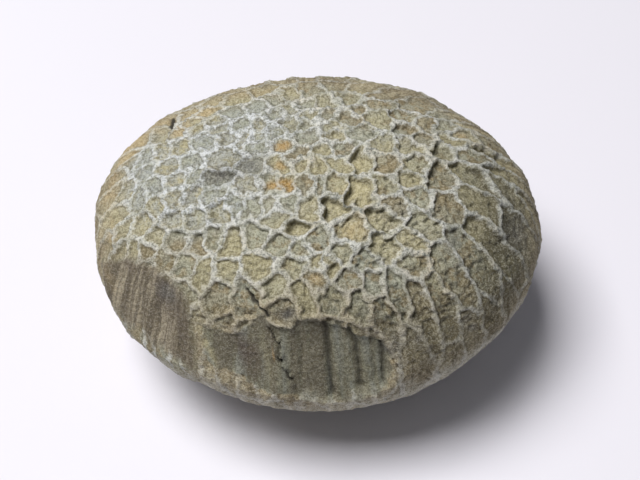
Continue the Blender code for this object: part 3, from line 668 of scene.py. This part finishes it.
def coral_surface(ball):
    """The finished surface in millimetres about the middle, the masks that the stone needs,
    and the places on the map of tubes. Above the belt the worn and broken body is lowered
    by the fillings, or by the relief of its broken areas. It is lowered everywhere by the
    cracks and raised by the roughness."""
    point = break_rim(body_points(ball))
    plan = ball_to_plan(ball)
    distance, tube, filling, place = coral_walls(point, ball)
    side = side_wear(ball, plan)
    fresh, paleness = above_belt(point)
    broken, bare_by_name, ledge, groove = broken_areas(point, plan, place)
    bare = np.max(list(bare_by_name.values()), axis=0)
    crack = strokes(plan + CRACK_WAVER * sway(point, CRACK_WAVELENGTH, axes=2, seed=41), CRACKS)
    filling = filling * (1.0 - (1.0 - SIDE_RELIEF) * side)
    rough = roughness(point) * (1.0 - (1.0 - FACE_ROUGHNESS) * bare)
    lower = fresh * ((1.0 - bare) * filling + bare * broken) + crack - rough
    tone = np.random.default_rng(SEED).uniform(-1.0, 1.0, tube.max() + 1)
    masks = {
        "wall_distance": distance,
        "tube_tone": tone[tube],
        "bare": bare * fresh,
        "streaky": bare_by_name["streaky"],
        "ledge": ledge * (1.0 - bare) * fresh,
        "groove": groove * bare * fresh,
        "side": side * (1.0 - bare),
        "belt": (1.0 - fresh) * (1.0 - bare_by_name["streaky"]) * paleness,
        "crack": crack,
    }
    masks.update({name: blotches(plan, spots) for name, spots in STAINS_AND_SHADES.items()})
    return stand_flat(point - outward(point) * lower[:, None]), masks, place


# ------------------------------------------------------------------ grid and mesh


def box_grid(cells):
    """Whole-number corners of a box's surface grid and its quads, each corner once.

    Each of the six sides is a grid of two of the three counts, with the third held at 0
    or at its end, and quads wound to face outward. Corners shared by sides are merged.
    """
    corners, quads, start = [], [], 0
    for axis in range(3):
        across, up = (axis + 1) % 3, (axis + 2) % 3
        for far in (0, 1):
            i, j = np.meshgrid(np.arange(cells[across] + 1), np.arange(cells[up] + 1), indexing="ij")
            side = np.empty(i.shape + (3,), dtype=int)
            side[..., across], side[..., up], side[..., axis] = i, j, far * cells[axis]
            number = start + np.arange(i.size).reshape(i.shape)
            ring = [number[:-1, :-1], number[1:, :-1], number[1:, 1:], number[:-1, 1:]]
            quads.append(np.stack(ring if far else ring[::-1], -1).reshape(-1, 4))
            corners.append(side.reshape(-1, 3))
            start += i.size
    corners, merged = np.unique(np.concatenate(corners), axis=0, return_inverse=True)
    return corners, merged.reshape(-1)[np.concatenate(quads)]


def blown_ball(corners, cells):
    """Box corners as unit vectors: each count becomes the tangent of an even angle from
    -45 to 45 degrees, the vector is made one long, drawn toward GRID_PULL and made one
    long again."""
    share = 2.0 * corners / np.array(cells) - 1.0
    return outward(outward(np.tan(share * np.pi / 4.0)) + GRID_PULL)


def coral_piece():
    """The coral as one closed mesh, with its masks and its map of streaks as attributes."""
    corners, quads = box_grid(GRID_CELLS)
    point, masks, place = coral_surface(blown_ball(corners, GRID_CELLS))
    mesh = bpy.data.meshes.new("coral_surface")
    mesh.vertices.add(len(point))
    mesh.vertices.foreach_set("co", ((point + MIDDLE) * MM).ravel())
    mesh.loops.add(quads.size)
    mesh.loops.foreach_set("vertex_index", quads.ravel())
    mesh.polygons.add(len(quads))
    mesh.polygons.foreach_set("loop_start", np.arange(0, quads.size, 4))
    mesh.update(calc_edges=True)
    mesh.validate()
    for name, values in masks.items():
        mesh.attributes.new(name, "FLOAT", "POINT").data.foreach_set("value", values)
    streaks = np.concatenate([streak_map(place), np.zeros((len(place), 1))], 1)
    vectors = mesh.attributes.new("streak_map", "FLOAT_VECTOR", "POINT")
    vectors.data.foreach_set("vector", streaks.ravel())
    mesh.shade_smooth()
    coral = bpy.data.objects.new("coral_surface", mesh)
    bpy.context.scene.collection.objects.link(coral)
    mesh.materials.append(coral_stone(masks))
    return coral


# ------------------------------------------------------------------ node wiring


def display(red, green, blue):
    """A linear colour from display values of 0 to 255."""
    def linear(value):
        share = value / 255.0
        return share / 12.92 if share <= 0.04045 else ((share + 0.055) / 1.055) ** 2.4
    return (linear(red), linear(green), linear(blue), 1.0)


class Wiring:
    """Places nodes in one tree and links their inputs."""

    def __init__(self, tree):
        self.tree = tree

    def add(self, kind, inputs=(), **settings):
        """A node of one kind, with its settings, and with inputs set or linked."""
        node = self.tree.nodes.new(kind)
        for name, value in settings.items():
            setattr(node, name, value)
        for key, value in dict(inputs).items():
            if isinstance(value, bpy.types.NodeSocket):
                self.tree.links.new(value, node.inputs[key])
            else:
                node.inputs[key].default_value = value
        return node

    def attribute(self, name):
        """The value of a mask of the mesh."""
        return self.add("ShaderNodeAttribute", attribute_name=name).outputs["Fac"]

    def math(self, operation, first, second=0.0, third=0.0):
        """One sum on one to three values."""
        node = self.add("ShaderNodeMath", {0: first, 1: second, 2: third}, operation=operation)
        return node.outputs[0]

    def blend(self, share, first, second):
        """Two values added, the second by a share and the first by the rest of one."""
        rest = self.math("MULTIPLY", first, 1.0 - share)
        return self.math("MULTIPLY_ADD", second, share, rest)

    def less(self, value, loss=1.0):
        """One less a value, or less a share of it."""
        return self.math("MULTIPLY_ADD", value, -loss, 1.0)

    def step(self, value, low, high):
        """0 below low, 1 above high and a smooth step between; it falls if low is above high."""
        inputs = {"Value": value, "From Min": low, "From Max": high}
        return self.add("ShaderNodeMapRange", inputs, interpolation_type="SMOOTHSTEP").outputs[0]

    def noise(self, vector, scale, detail, roughness):
        """Noise from 0 to 1 with its mean at a half."""
        inputs = {"Vector": vector, "Scale": scale, "Detail": detail, "Roughness": roughness}
        return self.add("ShaderNodeTexNoise", inputs).outputs["Fac"]

    def mix(self, share, first, second):
        """Two colours mixed by a share. A mix node's colours are its inputs 6 and 7, and
        its output 2."""
        node = self.add("ShaderNodeMix", {0: share, 6: first, 7: second}, data_type="RGBA")
        return node.outputs[2]

    def cover(self, mask, share, under, over):
        """A colour that covers a share of another where the mask is 1."""
        return self.mix(self.math("MULTIPLY", mask, share), under, over)


def new_group(name, inputs, outputs):
    """An empty shader node group with named inputs and outputs, and its wiring."""
    tree = bpy.data.node_groups.new(name, "ShaderNodeTree")
    for socket, kind, value in inputs:
        made = tree.interface.new_socket(socket, in_out="INPUT", socket_type=kind)
        if value is not None:
            made.default_value = value
    for socket, kind in outputs:
        tree.interface.new_socket(socket, in_out="OUTPUT", socket_type=kind)
    return tree, Wiring(tree)


# ------------------------------------------------------------------ stone

# Colours as display values
FILLING_OLIVE = display(176, 169, 136)
FILLING_GREY = display(165, 168, 153)
FILLING_BROWN = display(152, 139, 108)
WALL_PALE = display(218, 219, 214)
WALL_CREAM = display(214, 206, 186)
WALL_DULL = display(150, 153, 146)
WALL_BUFF = display(180, 169, 142)
# Yellow stone, and painted light on deep fillings
SANDY_AND_LIT_YELLOW = display(198, 188, 148)
COATING_WHITE = display(222, 226, 230)
COATING_DULL = display(150, 154, 149)
FILM_PALE = display(186, 191, 194)
OCHRE_STAIN = display(190, 170, 130)
RUST_STAIN = display(180, 146, 86)
DARK_GREY = display(100, 99, 97)
PURPLE_BROWN = display(80, 67, 60)
COLUMN_GREY = display(140, 142, 130)
COLUMN_OLIVE = display(126, 124, 104)
COLUMN_BROWN = display(114, 109, 92)
STREAK_PALE = display(160, 150, 129)
STREAK_BROWN = display(103, 94, 79)
SIDE_PALE = display(184, 172, 142)
SIDE_BROWN = display(134, 121, 94)
# Painted shade on the right and the front
SIDE_SHADE_BROWN = display(102, 98, 77)
# Pale stone, partly painted light bounced up from the floor
BELT_BOUNCE_PALE = display(200, 199, 187)
BELT_DULL = display(166, 162, 146)
# Painted shade in the grooves and the cracks
CREVICE_SHADE = display(64, 61, 53)
# Dark grain specks, and the painted shade with dirt at the foot of the walls
SPECK_AND_SHADE_DARK = display(84, 77, 58)
SPECK_PALE = display(222, 218, 202)

# Waves for each metre of the patterns on Object coordinates
GRAIN_SCALE = 5200.0
SPECK_SCALE = 2700.0
MOTTLE_SCALE = 1600.0
RAGGED_SCALE = 1100.0
CLOUD_SCALE = 600.0
PATCH_SCALE = 150.0
BROWN_SCALE = 90.0
# Waves for each millimetre of the map of streaks
STREAK_SCALE = 0.4
FINE_STREAK_SCALE = 1.3

# Pale walls: half width in millimetres, and how far their edges stray
WALL_REACH = 0.33
WALL_RAGGEDNESS = 0.9

# How much of each tone covers what is under it
SIDE_SHADE_SHARE = 0.75
PURPLE_SHARE = 0.8
SANDY_AND_LIT_SHARE = 0.7
FILM_SHARE = 0.75
OCHRE_SHARE = 0.85
DARK_STAINS_AND_SHADOW_SHARE = 0.6
FOOT_DIRT_AND_SHADE_SHARE = 0.45
SIDE_SHADE_WALL_SHARE = 0.3
BUFF_WALL_SHARE = 0.8
DARK_STAINS_AND_SHADOW_WALL_SHARE = 0.45
BELT_SHARE = 0.8
BELT_WALL_SHARE = 0.6
LEDGE_SHARE = 0.3
DARK_SPECK_SHARE = 0.5
PALE_SPECK_SHARE = 0.3
GROOVE_SHADE_SHARE = 0.65

# How far the tone of each tube, or of a cloud, moves a colour, and what walls and specks
# lose on the belt, on the sides, between clouds and on bare stone
TUBE_OLIVE_SHARE = 0.35
TUBE_BROWN_SHARE = -0.5
CLOUD_BROWN_SHARE = 0.4
COLUMN_TONE_SHARE = 0.12
BLOT_SHARE = 0.6
BELT_WALL_LOSS = 0.7
SIDE_WALL_LOSS = 0.45
CLOUD_WALL_LOSS = 0.45
BARE_SPECK_LOSS = 0.12

# Fine patterns: how much finer than the coarse ones, and their share when both are added
FINE_SPECK_RATIO = 2.3
FINE_SPECK_SHARE = 0.5
FINE_STREAK_SHARE = 0.4
FINE_GRAIN_HEIGHT = 0.4

BUMP_STRENGTH = 0.9
BUMP_HEIGHT = 0.0004
STONE_ROUGHNESS = 0.88
STONE_SHINE = 0.3


def grain_group():
    """Sandy stone: masks of fine dark and pale specks, and the height of the grains, from
    a coarse and a fine noise added."""
    tree, w = new_group(
        "sandy_grain",
        (("Vector", "NodeSocketVector", None), ("Scale", "NodeSocketFloat", SPECK_SCALE)),
        (("Dark", "NodeSocketFloat"), ("Pale", "NodeSocketFloat"), ("Height", "NodeSocketFloat")),
    )
    given = w.add("NodeGroupInput")
    vector, scale = given.outputs["Vector"], given.outputs["Scale"]
    coarse = w.noise(vector, scale, detail=3.0, roughness=0.65)
    fine = w.noise(vector, w.math("MULTIPLY", scale, FINE_SPECK_RATIO), detail=2.0, roughness=0.6)
    both = w.blend(FINE_SPECK_SHARE, coarse, fine)
    w.add("NodeGroupOutput", {
        "Dark": w.step(both, 0.5, 0.42),
        "Pale": w.step(both, 0.5, 0.58),
        "Height": both,
    })
    return tree


def wall_group():
    """Walls between tubes: the distance from the wall, in millimetres, is shaken by noise. The wall
    is 1 nearer than the half width, and its foot is a band just past that, where painted shade and
    some dirt are laid."""
    tree, w = new_group(
        "ragged_wall",
        (("Vector", "NodeSocketVector", None), ("Distance", "NodeSocketFloat", 0.0),
         ("Half Width", "NodeSocketFloat", WALL_REACH),
         ("Raggedness", "NodeSocketFloat", WALL_RAGGEDNESS)),
        (("Wall", "NodeSocketFloat"), ("Foot Dirt And Shade", "NodeSocketFloat")),
    )
    given = w.add("NodeGroupInput")
    ragged = w.noise(given.outputs["Vector"], RAGGED_SCALE, detail=4.0, roughness=0.65)
    shake = w.math("SUBTRACT", ragged, 0.5)
    shaken = w.math("MULTIPLY_ADD", shake, given.outputs["Raggedness"], given.outputs["Distance"])
    edge = w.math("SUBTRACT", shaken, given.outputs["Half Width"])
    foot = w.math("MULTIPLY", w.step(edge, 0.0, 0.12), w.step(edge, 0.4, 0.12))
    w.add("NodeGroupOutput", {"Wall": w.step(edge, 0.14, -0.18), "Foot Dirt And Shade": foot})
    return tree


def stone_patterns(w, masks):
    """The masks of the mesh, the noises that break them up, and what the two groups put
    out, all by name."""
    place = w.add("ShaderNodeTexCoord").outputs["Object"]
    along_tubes = w.add("ShaderNodeAttribute", attribute_name="streak_map").outputs["Vector"]
    look = {name: w.attribute(name) for name in masks}
    look["place"] = place
    look["patch"] = w.noise(place, PATCH_SCALE, detail=5.0, roughness=0.65)
    look["mottle"] = w.noise(place, MOTTLE_SCALE, detail=4.0, roughness=0.75)
    look["cloud"] = w.noise(place, CLOUD_SCALE, detail=3.0, roughness=0.6)
    look["streak"] = w.noise(along_tubes, STREAK_SCALE, detail=3.0, roughness=0.55)
    fine = w.noise(along_tubes, FINE_STREAK_SCALE, detail=3.0, roughness=0.6)
    look["both_streaks"] = w.blend(FINE_STREAK_SHARE, look["streak"], fine)
    look["blot"] = w.math("MULTIPLY", w.math("SUBTRACT", look["cloud"], 0.5), BLOT_SHARE)
    grain = w.add("ShaderNodeGroup", {"Vector": place}, node_tree=grain_group())
    wall = w.add("ShaderNodeGroup", {"Vector": place, "Distance": look["wall_distance"]},
                 node_tree=wall_group())
    look["dark_specks"], look["pale_specks"] = grain.outputs["Dark"], grain.outputs["Pale"]
    look["grain_height"] = grain.outputs["Height"]
    look["wall"], look["foot"] = wall.outputs["Wall"], wall.outputs["Foot Dirt And Shade"]
    return look


def filling_colour(w, look):
    """Fillings of the tubes: grey to olive by tube and by patch, brown here and there, in streaks on
    the sides, and darker and browner where shade is painted on the right and the front."""
    tone = w.math("MULTIPLY_ADD", look["tube_tone"], TUBE_OLIVE_SHARE, look["patch"])
    colour = w.mix(w.step(tone, 0.25, 0.7), FILLING_GREY, FILLING_OLIVE)
    brown = w.noise(look["place"], BROWN_SCALE, detail=3.0, roughness=0.6)
    brown = w.math("MULTIPLY_ADD", look["tube_tone"], TUBE_BROWN_SHARE, brown)
    brown = w.math("MULTIPLY_ADD", w.step(look["cloud"], 0.45, 0.62), CLOUD_BROWN_SHARE, brown)
    uncoated = w.less(w.step(look["coating"], 0.1, 0.5))
    colour = w.cover(w.step(brown, 0.6, 1.1), uncoated, colour, FILLING_BROWN)
    side_colour = w.mix(w.step(look["both_streaks"], 0.42, 0.58), SIDE_BROWN, SIDE_PALE)
    colour = w.mix(look["side"], colour, side_colour)
    # Painted shade on the right and the front
    return w.cover(look["side_shade"], SIDE_SHADE_SHARE, colour, SIDE_SHADE_BROWN)


def bare_areas(w, look, colour):
    """Bare columns, by tube and in broad bands, the streaky side, and purple brown runs."""
    band = w.math("MULTIPLY_ADD", look["tube_tone"], COLUMN_TONE_SHARE, look["streak"])
    column = w.mix(w.step(band, 0.4, 0.52), COLUMN_BROWN, COLUMN_OLIVE)
    column = w.mix(w.step(band, 0.48, 0.62), column, COLUMN_GREY)
    streaks = w.mix(w.step(look["both_streaks"], 0.44, 0.57), STREAK_BROWN, STREAK_PALE)
    colour = w.mix(look["bare"], colour, w.mix(look["streaky"], column, streaks))
    return w.cover(look["purple"], PURPLE_SHARE, colour, PURPLE_BROWN)


def stains(w, look, colour):
    """Sandy spots, three of them painted light on deep fillings, the pale film, ochre and rust with
    blotted edges, and dark spots, one of them painted shadow in a deep pit.
    """
    # Sandy spots, three of them painted light on deep fillings
    colour = w.cover(look["sandy"], SANDY_AND_LIT_SHARE, colour, SANDY_AND_LIT_YELLOW)
    film = w.math("MULTIPLY", w.step(look["coating"], 0.05, 0.7), w.step(look["cloud"], 0.36, 0.58))
    film_colour = w.mix(w.step(look["mottle"], 0.45, 0.6), COATING_DULL, FILM_PALE)
    colour = w.cover(film, FILM_SHARE, colour, film_colour)
    ochre = w.step(w.math("ADD", look["ochre"], look["blot"]), 0.2, 0.9)
    colour = w.cover(ochre, OCHRE_SHARE, colour, OCHRE_STAIN)
    rust = w.step(w.math("ADD", look["rust"], look["blot"]), 0.3, 0.8)
    colour = w.mix(rust, colour, RUST_STAIN)
    # Dark spots, one of them painted shadow in a deep pit
    return w.cover(look["dark_stains_and_shadow"], DARK_STAINS_AND_SHADOW_SHARE, colour, DARK_GREY)


def wall_colour(w, look):
    """Whitish walls, cream in patches and dull in mottles, whiter under the coating, and duller
    where shade is painted on the right and the front.
    """
    clean = w.mix(w.step(look["patch"], 0.48, 0.68), WALL_PALE, WALL_CREAM)
    dull = w.step(look["mottle"], 0.54, 0.4)
    coated = w.mix(dull, COATING_WHITE, COATING_DULL)
    colour = w.mix(w.step(look["coating"], 0.1, 0.8), w.mix(dull, clean, WALL_DULL), coated)
    # Painted shade on the right and the front dulls the walls too
    colour = w.cover(look["side_shade"], SIDE_SHADE_WALL_SHARE, colour, WALL_DULL)
    return w.cover(look["buff"], BUFF_WALL_SHARE, colour, WALL_BUFF)


def walls(w, look, colour):
    """The dark foot of the walls, painted shade with some dirt where the fillings meet them, then
    the walls, which end at bare areas and grow faint on the sides, on the belt and in clouds, then
    dark spots, one of them painted shadow in a deep pit."""
    standing = w.math("MULTIPLY", w.less(look["bare"]), w.less(look["belt"], BELT_WALL_LOSS))
    # Painted shade, with some dirt, at the foot of the walls
    colour = w.cover(w.math("MULTIPLY", look["foot"], standing), FOOT_DIRT_AND_SHADE_SHARE, colour, SPECK_AND_SHADE_DARK)
    faint = w.less(look["side"], SIDE_WALL_LOSS)
    clouded = w.less(w.step(look["cloud"], 0.56, 0.4), CLOUD_WALL_LOSS)
    shown = w.math("MULTIPLY", w.math("MULTIPLY", look["wall"], standing),
                   w.math("MULTIPLY", faint, clouded))
    colour = w.mix(shown, colour, wall_colour(w, look))
    # Dark spots over the walls too, one of them painted shadow in a deep pit
    return w.cover(look["dark_stains_and_shadow"], DARK_STAINS_AND_SHADOW_WALL_SHARE, colour, DARK_GREY)


def belt_and_ledge(w, look, colour):
    """The rubbed belt, paler partly as painted light bounced up from the floor, with the walls as
    faint lines, and the buff edge of the ledge.
    """
    belt = w.mix(w.step(look["mottle"], 0.4, 0.6), BELT_DULL, BELT_BOUNCE_PALE)
    belt = w.cover(look["wall"], BELT_WALL_SHARE, belt, WALL_PALE)
    colour = w.cover(look["belt"], BELT_SHARE, colour, belt)
    return w.cover(look["ledge"], LEDGE_SHARE, colour, WALL_BUFF)


def grain_and_cracks(w, look, colour):
    """Dark and pale specks over all, then painted shade in the grooves and the cracks."""
    colour = w.cover(look["dark_specks"], DARK_SPECK_SHARE, colour, SPECK_AND_SHADE_DARK)
    share = w.math("MULTIPLY_ADD", look["bare"], -BARE_SPECK_LOSS, PALE_SPECK_SHARE)
    colour = w.cover(look["pale_specks"], share, colour, SPECK_PALE)
    colour = w.cover(w.step(look["groove"], 0.15, 0.6), GROOVE_SHADE_SHARE, colour, CREVICE_SHADE)
    return w.mix(w.step(look["crack"], 0.1, 0.5), colour, CREVICE_SHADE)


def coral_stone(masks):
    """Worn limestone: olive grey sandy fillings, pale ragged walls, stained patches, painted shade
    on the right and the front and in grooves, bare brown grey columns at the front and a pale rubbed
    belt at the bottom, its paleness partly painted bounce light."""
    material = bpy.data.materials.new("coral_stone")
    material.use_nodes = True
    w = Wiring(material.node_tree)
    shader = material.node_tree.nodes["Principled BSDF"]
    look = stone_patterns(w, masks)
    colour = filling_colour(w, look)
    for layer in (bare_areas, stains, walls, belt_and_ledge, grain_and_cracks):
        colour = layer(w, look, colour)
    fine = w.noise(look["place"], GRAIN_SCALE, detail=2.0, roughness=0.6)
    height = w.math("MULTIPLY_ADD", fine, FINE_GRAIN_HEIGHT, look["grain_height"])
    bump = w.add("ShaderNodeBump", {"Height": height, "Strength": BUMP_STRENGTH,
                                    "Distance": BUMP_HEIGHT})
    material.node_tree.links.new(bump.outputs["Normal"], shader.inputs["Normal"])
    material.node_tree.links.new(colour, shader.inputs["Base Color"])
    shader.inputs["Roughness"].default_value = STONE_ROUGHNESS
    shader.inputs["Specular IOR Level"].default_value = STONE_SHINE
    return material


# ------------------------------------------------------------------ floor, light, camera

FLOOR_SIZE = 3.0
FLOOR_DIM = display(227, 225, 235)
FLOOR_BRIGHT = display(231, 230, 239)
FLOOR_SCALE = 6.0
FLOOR_MATTNESS = 0.8
CAMERA_TARGET = (0.00034, -0.0006, 0.01655)
CAMERA_DISTANCE = 0.1555
CAMERA_ELEVATION = math.radians(50)
CAMERA_LENS = 60.0
CAMERA_SENSOR = 36.0
CAMERA_NEAR = 0.005
LAMP_PLACE = (-0.29, 0.0, 0.78)
LAMP_SIZE = 0.42
LAMP_POWER = 8.4
LAMP_COLOUR = (1.0, 0.985, 0.96)
SKY_COLOUR = (0.93, 0.95, 1.0, 1.0)
SKY_STRENGTH = 0.12


def floor_piece():
    """A pale plain floor: a grid of one cell, wide enough to fill the view."""
    reach = FLOOR_SIZE / 2.0
    i, j = np.meshgrid([-reach, reach], [-reach, reach], indexing="ij")
    corners = np.stack([i.ravel(), j.ravel(), np.zeros(4)], 1)
    mesh = bpy.data.meshes.new("floor")
    mesh.from_pydata(corners.tolist(), [], [(0, 2, 3, 1)])
    floor = bpy.data.objects.new("floor", mesh)
    bpy.context.scene.collection.objects.link(floor)
    mesh.materials.append(floor_paint())
    return floor


def floor_paint():
    """Matt pale board with a faint unevenness of tone."""
    material = bpy.data.materials.new("floor_paint")
    material.use_nodes = True
    w = Wiring(material.node_tree)
    shader = material.node_tree.nodes["Principled BSDF"]
    coordinates = w.add("ShaderNodeTexCoord").outputs["Object"]
    soft = w.noise(coordinates, FLOOR_SCALE, detail=2.0, roughness=0.5)
    colour = w.mix(soft, FLOOR_DIM, FLOOR_BRIGHT)
    material.node_tree.links.new(colour, shader.inputs["Base Color"])
    shader.inputs["Roughness"].default_value = FLOOR_MATTNESS
    return material


def window():
    """One square lamp high at the left, facing the middle of the coral."""
    lamp = bpy.data.lights.new("window", "AREA")
    lamp.size = LAMP_SIZE
    lamp.energy = LAMP_POWER
    lamp.color = LAMP_COLOUR
    light = bpy.data.objects.new("window", lamp)
    light.location = LAMP_PLACE
    aim = Vector(CAMERA_TARGET) - light.location
    light.rotation_euler = aim.to_track_quat("-Z", "Y").to_euler()
    bpy.context.scene.collection.objects.link(light)


def studio():
    """The window's light, and a dim even sky."""
    window()
    world = bpy.data.worlds.new("sky")
    world.use_nodes = True
    sky = world.node_tree.nodes["Background"]
    sky.inputs["Color"].default_value = SKY_COLOUR
    sky.inputs["Strength"].default_value = SKY_STRENGTH
    bpy.context.scene.world = world
    bpy.context.scene.view_settings.view_transform = "Standard"


def camera():
    """Looks down on the crown from the front."""
    lens = bpy.data.cameras.new("camera")
    lens.lens = CAMERA_LENS
    lens.sensor_width = CAMERA_SENSOR
    lens.clip_start = CAMERA_NEAR
    eye = bpy.data.objects.new("camera", lens)
    x, y, z = CAMERA_TARGET
    back, up = math.cos(CAMERA_ELEVATION), math.sin(CAMERA_ELEVATION)
    eye.location = (x, y - CAMERA_DISTANCE * back, z + CAMERA_DISTANCE * up)
    eye.rotation_euler = (math.pi / 2.0 - CAMERA_ELEVATION, 0.0, 0.0)
    bpy.context.scene.collection.objects.link(eye)
    bpy.context.scene.camera = eye


# ------------------------------------------------------------------ the scene

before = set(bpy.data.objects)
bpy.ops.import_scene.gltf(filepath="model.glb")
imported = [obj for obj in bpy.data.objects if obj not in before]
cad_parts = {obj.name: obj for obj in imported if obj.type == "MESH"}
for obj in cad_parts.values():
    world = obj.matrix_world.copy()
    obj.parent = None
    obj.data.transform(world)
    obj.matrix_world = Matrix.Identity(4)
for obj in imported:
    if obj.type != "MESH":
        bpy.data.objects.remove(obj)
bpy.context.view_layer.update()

camera()
studio()
floor_piece()

coral = coral_piece()
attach(coral, "root")
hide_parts(NODE)
